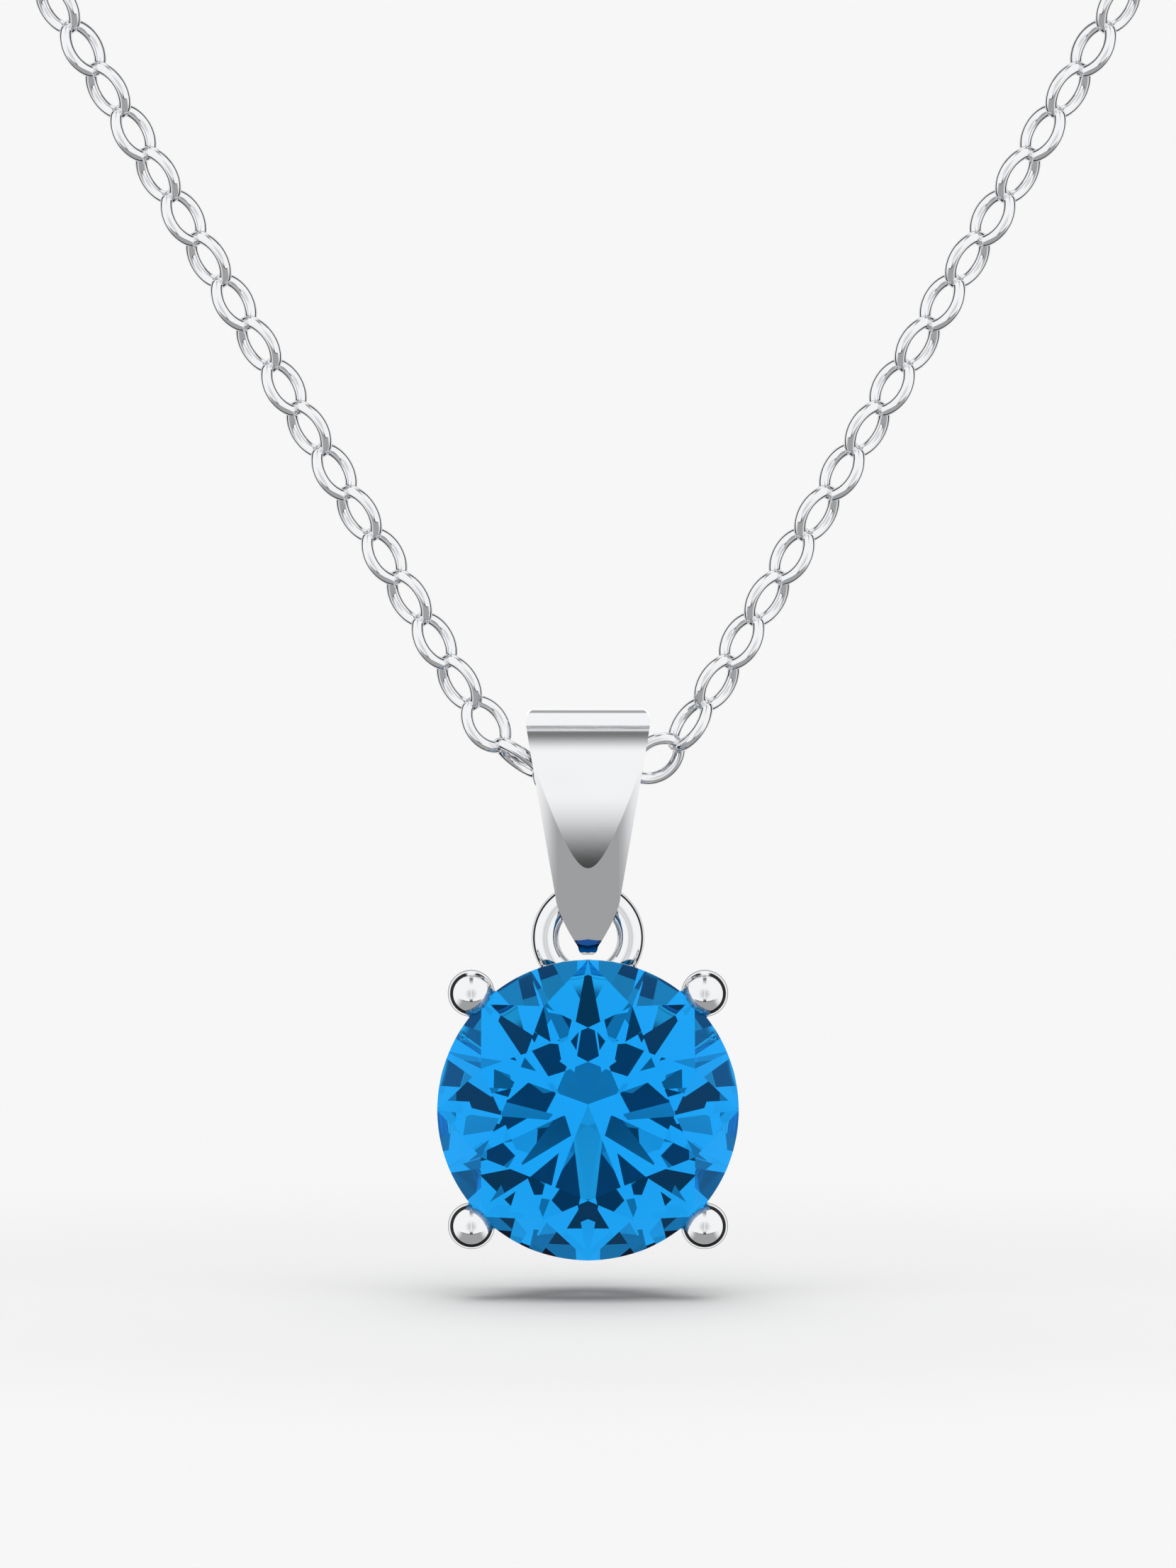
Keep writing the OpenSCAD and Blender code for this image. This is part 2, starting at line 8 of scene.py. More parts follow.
# %% Load the frame
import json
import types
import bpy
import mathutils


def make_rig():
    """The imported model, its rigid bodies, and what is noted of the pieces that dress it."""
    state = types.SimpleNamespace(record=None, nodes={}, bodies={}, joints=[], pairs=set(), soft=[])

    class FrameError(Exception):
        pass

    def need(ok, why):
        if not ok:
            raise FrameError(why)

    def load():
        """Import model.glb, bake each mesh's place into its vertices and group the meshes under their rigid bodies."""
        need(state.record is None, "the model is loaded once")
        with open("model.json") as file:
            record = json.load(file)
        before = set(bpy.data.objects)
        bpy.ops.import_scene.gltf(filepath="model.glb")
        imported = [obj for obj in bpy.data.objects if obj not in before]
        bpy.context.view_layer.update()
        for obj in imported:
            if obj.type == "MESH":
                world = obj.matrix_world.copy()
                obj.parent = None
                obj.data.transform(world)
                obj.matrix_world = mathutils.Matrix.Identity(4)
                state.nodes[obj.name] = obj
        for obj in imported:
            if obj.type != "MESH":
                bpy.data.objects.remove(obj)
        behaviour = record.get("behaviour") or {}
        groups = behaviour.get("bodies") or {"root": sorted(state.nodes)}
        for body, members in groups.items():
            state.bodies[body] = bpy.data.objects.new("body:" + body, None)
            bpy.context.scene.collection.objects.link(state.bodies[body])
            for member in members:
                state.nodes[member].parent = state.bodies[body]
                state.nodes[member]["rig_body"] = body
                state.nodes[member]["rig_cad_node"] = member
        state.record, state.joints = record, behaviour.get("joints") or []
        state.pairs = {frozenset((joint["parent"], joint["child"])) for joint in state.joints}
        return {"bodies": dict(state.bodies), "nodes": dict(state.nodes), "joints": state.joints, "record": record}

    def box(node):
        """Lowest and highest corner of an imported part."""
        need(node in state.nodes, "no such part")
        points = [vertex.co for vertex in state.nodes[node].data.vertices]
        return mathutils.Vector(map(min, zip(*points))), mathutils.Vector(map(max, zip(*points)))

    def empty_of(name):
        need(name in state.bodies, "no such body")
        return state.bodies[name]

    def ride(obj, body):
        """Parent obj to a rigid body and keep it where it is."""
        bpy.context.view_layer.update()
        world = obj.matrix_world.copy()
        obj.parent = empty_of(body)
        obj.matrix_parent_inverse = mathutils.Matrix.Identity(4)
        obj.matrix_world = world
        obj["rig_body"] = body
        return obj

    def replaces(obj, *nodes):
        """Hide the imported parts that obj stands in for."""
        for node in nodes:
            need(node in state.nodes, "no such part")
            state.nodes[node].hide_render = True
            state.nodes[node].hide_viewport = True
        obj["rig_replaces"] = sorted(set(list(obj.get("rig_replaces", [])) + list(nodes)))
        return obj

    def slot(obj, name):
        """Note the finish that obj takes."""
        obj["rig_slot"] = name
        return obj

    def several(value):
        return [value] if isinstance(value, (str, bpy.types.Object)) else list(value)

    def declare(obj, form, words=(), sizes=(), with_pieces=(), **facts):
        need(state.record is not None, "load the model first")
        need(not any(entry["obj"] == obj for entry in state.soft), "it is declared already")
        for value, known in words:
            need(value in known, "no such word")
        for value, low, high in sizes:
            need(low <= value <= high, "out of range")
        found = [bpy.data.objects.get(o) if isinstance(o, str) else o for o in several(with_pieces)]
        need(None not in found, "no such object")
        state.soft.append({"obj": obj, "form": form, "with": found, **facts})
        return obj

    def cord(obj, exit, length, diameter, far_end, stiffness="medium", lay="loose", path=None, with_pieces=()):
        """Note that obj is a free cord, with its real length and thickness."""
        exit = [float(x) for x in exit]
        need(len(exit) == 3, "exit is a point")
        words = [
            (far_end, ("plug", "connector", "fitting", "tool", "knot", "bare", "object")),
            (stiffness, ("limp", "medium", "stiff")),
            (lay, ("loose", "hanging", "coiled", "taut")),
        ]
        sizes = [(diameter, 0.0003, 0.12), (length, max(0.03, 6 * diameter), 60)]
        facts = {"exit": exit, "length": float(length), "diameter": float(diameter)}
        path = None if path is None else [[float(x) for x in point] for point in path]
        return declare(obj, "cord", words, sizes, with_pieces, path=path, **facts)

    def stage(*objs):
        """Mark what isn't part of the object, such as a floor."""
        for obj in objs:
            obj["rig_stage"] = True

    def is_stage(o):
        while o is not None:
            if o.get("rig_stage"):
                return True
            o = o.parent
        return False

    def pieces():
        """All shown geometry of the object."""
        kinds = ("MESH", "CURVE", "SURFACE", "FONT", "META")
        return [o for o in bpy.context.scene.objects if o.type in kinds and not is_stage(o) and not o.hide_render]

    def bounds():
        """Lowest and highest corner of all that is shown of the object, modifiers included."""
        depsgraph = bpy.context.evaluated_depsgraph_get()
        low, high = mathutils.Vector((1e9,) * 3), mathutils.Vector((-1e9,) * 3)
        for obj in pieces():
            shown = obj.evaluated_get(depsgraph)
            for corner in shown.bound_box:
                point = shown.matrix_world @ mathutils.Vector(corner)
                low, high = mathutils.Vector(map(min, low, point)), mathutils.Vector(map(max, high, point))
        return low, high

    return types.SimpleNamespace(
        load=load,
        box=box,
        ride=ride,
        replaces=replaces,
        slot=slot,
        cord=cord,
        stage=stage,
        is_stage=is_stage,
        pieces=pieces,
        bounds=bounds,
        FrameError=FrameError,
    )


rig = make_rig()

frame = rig.load()
cad_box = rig.bounds()

import bpy
import json
import math
from mathutils import Matrix, Vector

mm = 0.001
D = math.radians
scene = bpy.context.scene
print("bodies", sorted(frame["bodies"]), "joints", [j["name"] for j in frame["joints"]])

# %% [markdown]
# ## Places that the CAD settles
# Every size comes from the frame: the stone's box gives its diameter and its axis, the bail's
# box gives its top and its tip. The rest are the cut angles and wire sizes of the CAD source.

# %% Sizes
stone_lo, stone_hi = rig.box("stone")
bail_lo, bail_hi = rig.box("bail")
STONE_R = (stone_hi.x - stone_lo.x) / 2 / mm
STONE_Z = (stone_hi.z + stone_lo.z) / 2 / mm
BAIL_TOP = bail_hi.z / mm
NOSE_LIFT = 0.05                  # the nose ends this far above the point of the side view
BAIL_TIP = bail_lo.z / mm - NOSE_LIFT
BAIL_W = (bail_hi.x - bail_lo.x) / mm
BAIL_R = 1.7                      # outside bend over the chain
BORE_R = 0.95                     # hole that the chain passes through
BORE_Z = BAIL_TOP - BAIL_R
LOOP_R, LOOP_WIRE = 1.14, 0.73
TIP_REACH = 0.53                  # how far the bail's point hangs below the loop's centre
LOOP_Z = BAIL_TIP + TIP_REACH
SET_BACK = 0.95                   # the loop's plane lies this far behind the girdle
GIRDLE = 0.125                    # half the girdle's thickness
CROWN, PAVILION = 34.5, 41.0      # slopes of the main facets
TABLE_R = 2.3
BALL_R, BALL_OUT, BALL_SINK = 0.64, 4.38, 0.2
WIRE_D, PITCH, LINK_W = 0.33, 1.305, 1.32
CHAIN_DROP = 0.29                 # the chain's lowest point lies this far below the bore's centre
CHAIN_LOW = BORE_Z - CHAIN_DROP
COIL_Z = 13.5
print("stone", round(STONE_R * 2, 3), "bail", round(BAIL_W, 3), "x", round(BAIL_TOP - BAIL_TIP, 3))

# %% [markdown]
# ## Camera
# The view is straight from the front and very slightly from above, with a long lens half a
# metre away, as small jewellery is taken so that nothing looks bent.

# %% Camera
VIEW_CENTRE = Vector((0, 0, -22.35)) * mm
VIEW_HEIGHT, DISTANCE, ELEVATION = 41.64 * mm, 0.5, 4.0
camera_data = bpy.data.cameras.new("camera")
camera_data.sensor_width = 36
camera_data.lens = 36 * DISTANCE / VIEW_HEIGHT
camera_data.clip_start, camera_data.clip_end = 0.01, 10
camera = bpy.data.objects.new("camera", camera_data)
scene.collection.objects.link(camera)
camera.location = VIEW_CENTRE + DISTANCE * Vector((0, -math.cos(D(ELEVATION)), math.sin(D(ELEVATION))))
camera.rotation_euler = (D(90 - ELEVATION), 0, 0)
scene.camera = camera
scene.view_settings.view_transform = "Standard"
print("lens", round(camera_data.lens), "mm")

# %% [markdown]
# ## Small tools
# These are the moves that a modeller repeats: pick one object, work in edit mode, apply a
# modifier, bake the placing into the mesh so that the object ends at the origin.

# %% Tools
def only(obj):
    bpy.ops.object.select_all(action="DESELECT")
    obj.select_set(True)
    bpy.context.view_layer.objects.active = obj


def added(name):
    obj = bpy.context.active_object
    obj.name = obj.data.name = name
    return obj


def baked(obj):
    """Puts the placing into the mesh."""
    only(obj)
    bpy.ops.object.transform_apply(location=True, rotation=True, scale=True)
    return obj


def edited(obj, *moves):
    """Runs edit-mode moves on everything in the mesh."""
    only(obj)
    bpy.ops.object.mode_set(mode="EDIT")
    bpy.ops.mesh.select_all(action="SELECT")
    for move in moves:
        move()
    bpy.ops.object.mode_set(mode="OBJECT")
    return obj


def outward():
    bpy.ops.mesh.remove_doubles(threshold=1e-7)
    bpy.ops.mesh.normals_make_consistent(inside=False)


def modified(obj, kind, **settings):
    """Adds a modifier and applies it."""
    only(obj)
    m = obj.modifiers.new(kind.lower(), kind)
    for key, value in settings.items():
        setattr(m, key, value)
    bpy.ops.object.modifier_apply(modifier=m.name)
    return obj


def cut(obj, tool, operation="DIFFERENCE"):
    """A boolean, after which the tool is thrown away."""
    modified(obj, "BOOLEAN", operation=operation, solver="EXACT", object=tool)
    bpy.data.objects.remove(tool)
    return obj


def smooth(obj, angle=30):
    only(obj)
    bpy.ops.object.shade_smooth_by_angle(angle=D(angle))
    return obj


def drawn(name, points, closed=True):
    """An outline drawn in the XY plane, as wire, in millimetres."""
    mesh = bpy.data.meshes.new(name)
    last = len(points) if closed else len(points) - 1
    edges = [(i, (i + 1) % len(points)) for i in range(last)]
    mesh.from_pydata([(x * mm, y * mm, 0) for x, y in points], edges, [])
    obj = bpy.data.objects.new(name, mesh)
    scene.collection.objects.link(obj)
    return obj


def extruded(name, points, depth):
    """An outline filled and pulled up, centred on its own plane."""
    obj = drawn(name, points)
    edited(obj,
           lambda: bpy.ops.mesh.edge_face_add(),
           lambda: bpy.ops.mesh.extrude_region_move(
               TRANSFORM_OT_translate={"value": (0, 0, depth * mm)}),
           lambda: bpy.ops.mesh.select_all(action="SELECT"),
           lambda: bpy.ops.transform.translate(value=(0, 0, -depth / 2 * mm)),
           outward)
    return obj


def lathed(name, points, steps=128):
    """A closed outline in (radius, height) spun about the Z axis."""
    obj = drawn(name, points)
    only(obj)
    obj.rotation_euler = (D(90), 0, 0)
    baked(obj)
    edited(obj,
           lambda: bpy.ops.mesh.spin(steps=steps, angle=D(360), center=(0, 0, 0), axis=(0, 0, 1)),
           outward)
    return obj


def arc(centre, radius, start, end, steps):
    return [(centre[0] + radius * math.cos(D(start + (end - start) * i / steps)),
             centre[1] + radius * math.sin(D(start + (end - start) * i / steps)))
            for i in range(steps + 1)]


def copied(obj, name, matrix):
    twin = obj.copy()
    twin.data = obj.data.copy()
    twin.name = twin.data.name = name
    twin.matrix_world = matrix
    scene.collection.objects.link(twin)
    return twin


def joined(parts, name):
    bpy.ops.object.select_all(action="DESELECT")
    for p in parts:
        p.select_set(True)
    bpy.context.view_layer.objects.active = parts[0]
    bpy.ops.object.join()
    whole = added(name)
    return baked(whole)


def in_setting(obj):
    """Turns a piece made about Z to the stone's axis, which points at the viewer."""
    obj.matrix_world = (Matrix.Translation((0, -SET_BACK * mm, STONE_Z * mm))
                        @ Matrix.Rotation(D(90), 4, "X"))
    return baked(obj)


print("tools ready")

# %% [markdown]
# ## Materials
# Colours are written as the eye sees them and turned to linear light by one function. Each
# material is named for what the real piece is made of.

# %% Node helper and colour
def linear(hex_colour):
    parts = [int(hex_colour[i:i + 2], 16) / 255 for i in (1, 3, 5)]
    return [c / 12.92 if c <= 0.04045 else ((c + 0.055) / 1.055) ** 2.4 for c in parts] + [1]


def add(tree, kind, links=(), **settings):
    """A node with its settings; links are (socket name or number, source socket or plain value)."""
    n = tree.nodes.new(kind)
    for key, value in settings.items():
        if hasattr(n, key) and key not in n.inputs:
            setattr(n, key, value)
        else:
            n.inputs[key].default_value = value
    for socket, source in links:
        if isinstance(source, bpy.types.NodeSocket):
            tree.links.new(source, n.inputs[socket])
        else:
            n.inputs[socket].default_value = source
    return n


def material(name, **surface):
    m = bpy.data.materials.new(name)
    m.use_nodes = True
    shader = m.node_tree.nodes["Principled BSDF"]
    for key, value in surface.items():
        shader.inputs[key.replace("_", " ")].default_value = value
    return m, m.node_tree, shader


print("black is", linear("#000000"), "white is", linear("#FFFFFF"))


# %% Finish a piece
def finished(obj, look, body, slot, *nodes):
    """Gives a piece its material and says what it stands for."""
    obj.data.materials.clear()
    obj.data.materials.append(look)
    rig.ride(obj, body)
    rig.slot(obj, slot)
    if nodes:
        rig.replaces(obj, *nodes)
    return obj


print("finish ready")

# %% [markdown]
# ### Rhodium-plated silver
# The settings and the chain are cast or drawn silver, polished and plated with rhodium, which
# gives a hard white mirror. A flat metal shader would look like computer glass, so roughness
# drifts in soft patches about 1 mm wide, and a bump 0.2 mm across gives the faint waviness that
# a polishing wheel leaves.

# %% Silver
silver, tree, shader = material("rhodium_plated_silver", Base_Color=linear("#EDEEF0"), Metallic=1.0)
place = add(tree, "ShaderNodeTexCoord").outputs["Object"]
patches = add(tree, "ShaderNodeTexNoise", [("Vector", place)], Scale=900.0, Detail=2.0)
dullness = add(tree, "ShaderNodeMapRange",
               [("Value", patches.outputs["Fac"]), ("To Min", 0.03), ("To Max", 0.09)])
tree.links.new(dullness.outputs["Result"], shader.inputs["Roughness"])
buffing = add(tree, "ShaderNodeTexNoise", [("Vector", place)], Scale=5000.0, Detail=1.0)
ripple = add(tree, "ShaderNodeBump", [("Height", buffing.outputs["Fac"])], Strength=0.02, Distance=0.00001)
tree.links.new(ripple.outputs["Normal"], shader.inputs["Normal"])
print(silver.name)

# %% [markdown]
# ### Cut blue stone
# A clear crystal with polished facets and strong colour all through. Colour painted on the
# surface would look like plastic, so part of it comes from absorption inside the stone: long
# paths go dark, short ones stay bright. The tint of reflections keeps the facets from going grey.

# %% Blue stone
stone_look, tree, shader = material("cut_blue_stone", Base_Color=linear("#2FCBFF"),
                                    Roughness=0.0, IOR=1.62, Transmission_Weight=1.0,
                                    Specular_Tint=linear("#1E7FE8"))
depth = add(tree, "ShaderNodeVolumeAbsorption", Color=linear("#89D0F7"), Density=150.0)
tree.links.new(depth.outputs["Volume"], tree.nodes["Material Output"].inputs["Volume"])
print(stone_look.name)

# %% [markdown]
# ### Drawn spring steel
# The clasp's spring is bare hard-drawn wire, greyer and duller than the plating. A noise about
# 0.08 mm across changes its roughness from place to place. It stands for the marks of the
# drawing die, though it doesn't run along the wire as the real ones do.

# %% Spring steel
steel, tree, shader = material("drawn_spring_steel", Base_Color=linear("#9EA3A8"), Metallic=1.0)
place = add(tree, "ShaderNodeTexCoord").outputs["Object"]
marks = add(tree, "ShaderNodeTexNoise", [("Vector", place)], Scale=12000.0, Detail=3.0)
wear = add(tree, "ShaderNodeMapRange", [("Value", marks.outputs["Fac"]), ("To Min", 0.2), ("To Max", 0.4)])
tree.links.new(wear.outputs["Result"], shader.inputs["Roughness"])
print(steel.name)

# %% [markdown]
# ### Tie paper
# The coil is held by two strips of matt white paper. Fibres show as a fine change of tone and as
# a slight fuzz. Both are drawn 0.3 mm across, coarser than real fibres, so that they show.

# %% Paper
paper, tree, shader = material("tie_paper", Roughness=0.85)
place = add(tree, "ShaderNodeTexCoord").outputs["Object"]
fibres = add(tree, "ShaderNodeTexNoise", [("Vector", place)], Scale=3000.0, Detail=4.0)
tone = add(tree, "ShaderNodeMix",
           [("Factor", fibres.outputs["Fac"]), (6, linear("#E4DFD4")), (7, linear("#FAF8F3"))],
           data_type="RGBA")
tree.links.new(tone.outputs[2], shader.inputs["Base Color"])
fuzz = add(tree, "ShaderNodeBump", [("Height", fibres.outputs["Fac"])], Strength=0.4, Distance=0.00002)
tree.links.new(fuzz.outputs["Normal"], shader.inputs["Normal"])
print(paper.name)

# %% [markdown]
# ## Chain
# A cable chain is one oval link repeated: wire is wound on an oval rod, sawn into links, and
# each link is closed through the last and soldered. The links of the V are drawn finely. The
# hundreds in the coil have few faces, because they're never seen close.

# %% One link
LINK_PLAY = 0.06                  # how much longer a link is than its step along the chain
END_ROUND = 0.73                  # end radius as a share of the link's half width


def oval_link(name, wire, around, sides):
    """Wire bent to an oval along X: a curve with round thickness, turned into a mesh."""
    half_l, half_w = (PITCH + LINK_PLAY) / 2, (LINK_W - WIRE_D) / 2
    end_r = END_ROUND * half_w
    side_r = (half_l ** 2 + half_w ** 2 - 2 * half_l * end_r) / (2 * (half_w - end_r))
    turn = math.degrees(math.atan2(side_r - half_w, half_l - end_r))
    quarter = (arc((half_l - end_r, 0), end_r, 0, turn, around // 8)[:-1]
               + arc((0, half_w - side_r), side_r, turn, 90, around // 8)[:-1])
    back = [(-x, y) for x, y in ([(0, half_w)] + quarter[:0:-1])]
    upper = quarter + back
    points = upper + [(-half_l, 0)] + [(x, -y) for x, y in upper[:0:-1]]
    curve = bpy.data.curves.new(name, "CURVE")
    curve.dimensions = "3D"
    spline = curve.splines.new("POLY")
    spline.points.add(len(points) - 1)
    for p, (x, y) in zip(spline.points, points):
        p.co = (x * mm, y * mm, 0, 1)
    spline.use_cyclic_u = True
    curve.bevel_depth = wire / 2 * mm
    curve.bevel_resolution = sides // 2 - 2
    obj = bpy.data.objects.new(name, curve)
    scene.collection.objects.link(obj)
    only(obj)
    bpy.ops.object.convert(target="MESH")
    return bpy.context.active_object


fine_link = oval_link("fine_link", WIRE_D, 96, 20)
plain_link = oval_link("plain_link", WIRE_D, 16, 6)
print("a fine link has", len(fine_link.data.polygons), "faces, a plain one", len(plain_link.data.polygons))

# %% [markdown]
# The two strands of the V leave the bail at a low slope and soon hang at 59.4 degrees. Links
# lie 45 degrees to each side in turn. The three by the bail share out a quarter turn, because
# the two strands mirror each other.

# %% Strands of the V
BAIL_SLOPES, STRAND_SLOPE, STRAND_LINKS = [12, 36, 55], 59.4, 18
LINK_TILT = 45


def link_places(side):
    slopes = BAIL_SLOPES + [STRAND_SLOPE] * STRAND_LINKS
    share = 90 / (2 * len(BAIL_SLOPES) + 1)
    x, z = 0.0, CHAIN_LOW
    for i, slope in enumerate(slopes):
        dx, dz = PITCH * math.cos(D(slope)), PITCH * math.sin(D(slope))
        tilt = LINK_TILT if i % 2 == 0 else -LINK_TILT
        roll = tilt - side * share * max(len(BAIL_SLOPES) - i, 0)
        place = (Matrix.Translation(Vector((x + dx / 2, 0, z + dz / 2)) * mm)
                 @ Matrix.Rotation(-D(slope), 4, "Y") @ Matrix.Rotation(D(side * roll), 4, "X"))
        yield place if side > 0 else Matrix.Rotation(D(180), 4, "Z") @ place
        x, z = x + dx, z + dz


for side, name in ((-1, "left"), (1, "right")):
    parts = [copied(fine_link, "link", m) for m in link_places(side)]
    strand = joined(parts, f"{name}_strand_links")
    smooth(strand, 60)
    finished(strand, silver, "necklace", "silver", f"chain_{name}_strand")
    print(strand.name, len(parts), "links", len(strand.data.polygons), "faces")

# %% [markdown]
# ## The rest of the chain
# From each hold point the chain runs over to one coil above the pendant, which holds all the
# length that isn't worn in the V. Each side is wound nearly four times, two turns deep and two
# turns wide, and its end comes in to the clasp on the coil's middle line.

# %% Route of a cord
LEAD = [(-14.9, 0, 0), (-15.4, 0, 0.8), (-15.8, -0.1, 1.6), (-16.1, -0.1, 2.6), (-16.0, -0.2, 3.6),
        (-15.5, -0.3, 4.6), (-14.5, -0.4, 5.4), (-13.2, -0.5, 5.6), (-11.6, -0.6, 5.5),
        (-9.8, -0.7, 5.3), (-8.0, -0.7, 5.2), (-6.2, -0.7, 5.2), (-4.4, -0.7, 5.3),
        (-2.6, -0.7, 5.5), (-1.2, -0.7, 5.6)]
TRACKS = [(7.8, -0.7), (7.8, -2.0), (6.5, -2.0), (6.5, -0.7)]
TURNS, CHANGE, COIL_STEPS = 3.72, 0.12, 420


def coil_point(t):
    """A point of the coil after t turns, moving to the next track over a part of a turn."""
    k = min(int(t), len(TRACKS) - 1)
    r, y = TRACKS[k]
    if k > 0 and t - k < CHANGE:
        s = (t - k) / CHANGE
        s = s * s * (3 - 2 * s)
        r = TRACKS[k - 1][0] + (r - TRACKS[k - 1][0]) * s
        y = TRACKS[k - 1][1] + (y - TRACKS[k - 1][1]) * s
    a = D(-90 + 360 * t)
    return (r * math.cos(a), y, COIL_Z + r * math.sin(a))


def route(side):
    points = LEAD + [coil_point(TURNS * i / COIL_STEPS) for i in range(COIL_STEPS + 1)]
    points += [(-6.35, -0.5, COIL_Z + 0.35), (-6.1, -0.25, COIL_Z + 0.1)]
    return [Vector((-side * x, -side * y, z)) * mm for x, y, z in points]


def walked(points, step):
    """Points and directions every step along a line."""
    left, out = 0.0, []
    for a, b in zip(points, points[1:]):
        d = b - a
        while left <= d.length:
            out.append((a + d * (left / d.length), d.normalized()))
            left += step
        left -= d.length
    return out


def smoothed(points, rounds=2):
    """Corner cutting, which keeps the two ends."""
    for _ in range(rounds):
        cut_points = [points[0]]
        for a, b in zip(points, points[1:]):
            cut_points += [a.lerp(b, 0.25), a.lerp(b, 0.75)]
        points = cut_points + [points[-1]]
    return points


for side, name in ((-1, "left"), (1, "right")):
    path = smoothed(route(side))
    length = sum((b - a).length for a, b in zip(path, path[1:]))
    parts = []
    for i, (p, d) in enumerate(walked(path, PITCH * mm)[:-1]):
        middle = p + d * PITCH / 2 * mm
        front = Vector((0, -1, 0))
        across = front.cross(d).normalized()
        turn = Matrix((d, across, d.cross(across))).transposed().to_4x4()
        roll = Matrix.Rotation(D(LINK_TILT if i % 2 == 0 else -LINK_TILT), 4, "X")
        parts.append(copied(plain_link, "link", Matrix.Translation(middle) @ turn @ roll))
    count = len(parts)
    cord = joined(parts, f"{name}_coil_links")
    smooth(cord, 80)
    finished(cord, silver, "necklace", "silver", f"chain_{name}_lead", f"chain_{name}_coil")
    if side < 0:
        ends = ["left_jump_ring", "clasp_eye", "clasp_case", "clasp_bolt", "clasp_knob",
                "clasp_spring", "coil_tie_left", "coil_tie_right"]
    else:
        ends = ["clasp_end_ring", "right_jump_ring"]
    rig.cord(cord, exit=path[0], length=0.19, diameter=0.0013, far_end="connector",
            stiffness="limp", lay="coiled", path=path, with_pieces=[frame["nodes"][n] for n in ends])
    print(cord.name, count, "links", round(length * 1000, 1), "mm", len(cord.data.polygons), "faces")

for spare in (fine_link, plain_link):
    bpy.data.objects.remove(spare)

# %% [markdown]
# ## Stone
# A round brilliant: table, eight stars, eight kites, sixteen upper halves, a faceted girdle
# edge, sixteen lower halves and eight pavilion mains. It is cut as a lapidary cuts it: from a
# round blank, one flat at a time, each flat a plane through three known points.

# %% Cut the stone
STAR_LENGTH, LOWER_HALVES = 0.505, 0.75     # how far the stars and the lower halves reach
SPARE = 1                                   # the blank is this much longer than the stone


def tan(a):
    return math.tan(D(a))


def at(radius, angle, height):
    return Vector((radius * math.cos(D(angle)), radius * math.sin(D(angle)), height)) * mm


table_z = GIRDLE + (STONE_R - TABLE_R) * tan(CROWN)
culet_z = -GIRDLE - STONE_R * tan(PAVILION)
table_edge = TABLE_R * math.cos(D(22.5))
star_r = table_edge + STAR_LENGTH * (STONE_R - table_edge)
star_z = GIRDLE + (STONE_R - star_r * math.cos(D(22.5))) * tan(CROWN)
keel_r = STONE_R * (1 - LOWER_HALVES)
keel_z = -GIRDLE - (STONE_R - keel_r * math.cos(D(22.5))) * tan(PAVILION)
bpy.ops.mesh.primitive_cylinder_add(vertices=192, radius=STONE_R * mm,
                                    depth=(table_z - culet_z + SPARE) * mm,
                                    location=(0, 0, (table_z + culet_z) / 2 * mm))
stone = baked(added("stone_cut"))
flats = [(at(0, 0, table_z), at(1, 0, table_z), at(1, 90, table_z))]
for k in range(8):
    a = 45 * k
    flats.append((at(TABLE_R, a, table_z), at(TABLE_R, a + 45, table_z), at(star_r, a + 22.5, star_z)))
    flats.append((at(STONE_R, a, GIRDLE), at(star_r, a + 22.5, star_z), at(star_r, a - 22.5, star_z)))
    flats.append((at(STONE_R, a, -GIRDLE), at(keel_r, a + 22.5, keel_z), at(keel_r, a - 22.5, keel_z)))
    for half in (-22.5, 22.5):
        tip = a + half
        flats.append((at(star_r, tip, star_z), at(STONE_R, a, GIRDLE), at(STONE_R, tip, GIRDLE)))
        flats.append((at(keel_r, tip, keel_z), at(STONE_R, a, -GIRDLE), at(STONE_R, tip, -GIRDLE)))
only(stone)
bpy.ops.object.mode_set(mode="EDIT")
for p, q, r in flats:
    normal = (q - p).cross(r - p).normalized()
    if normal.dot(p) < 0:
        normal.negate()
    bpy.ops.mesh.select_all(action="SELECT")
    bpy.ops.mesh.bisect(plane_co=p, plane_no=normal, use_fill=True, clear_outer=True, threshold=1e-9)
bpy.ops.object.mode_set(mode="OBJECT")
edited(stone, outward)
smooth(stone, 2.5)
in_setting(stone)
finished(stone, stone_look, "pendant", "stone", "stone")
print("stone faces", len(stone.data.polygons))

# %% [markdown]
# ## Four prongs
# Each prong is a wire that rises from the back rail to a ball at the girdle. The setter cuts
# a notch in the ball and presses it over the stone's edge.

# %% Prongs
SEAT_GAP, PRONG_R, PRONG_EDGE = 0.02, 0.4, 0.05


def seat_tool():
    """The stone's outline with a hair of room, to cut notches with."""
    g = SEAT_GAP
    return lathed("seat_tool", [(0.0001, culet_z - g), (STONE_R + g, -GIRDLE - g),
                                (STONE_R + g, GIRDLE + g), (TABLE_R, table_z + g),
                                (0.0001, table_z + g)], 96)


